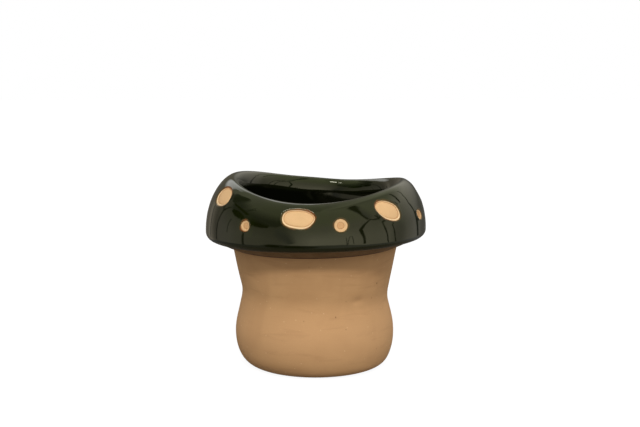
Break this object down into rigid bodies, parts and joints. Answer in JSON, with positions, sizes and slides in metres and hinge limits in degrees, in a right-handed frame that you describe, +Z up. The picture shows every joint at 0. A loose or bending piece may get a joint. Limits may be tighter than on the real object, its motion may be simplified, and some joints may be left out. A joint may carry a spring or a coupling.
{
  "type": "mushroom planter",
  "caption": "Mushroom-shaped ceramic planter with a waisted bare clay stem, a glazed overhanging cap with a wavy open rim, and recessed oval spots.",
  "frame": {"origin": "middle of the foot, on the ground under the pot's axis", "axes": "+Z up the pot's axis; -Y is the front, where the crest dips and a large spot sits just left of the middle; +X is to the right seen from the front"},
  "size_m": [0.2086, 0.2086, 0.182],
  "materials": {
    "bare_clay": "matte bare fired clay",
    "cap_clay": "matte bare fired clay",
    "clay_slip": "matte fired slip",
    "green_glaze": "high gloss dark green glaze",
    "liner_glaze": "high gloss very dark green glaze"
  },
  "bodies": {
    "root": {"stem_pot": "bare_clay", "cap_body": "cap_clay", "seam_slip": "clay_slip", "lip_slip": "clay_slip", "cap_glaze": "green_glaze", "liner_glaze": "liner_glaze"}
  },
  "joints": []
}
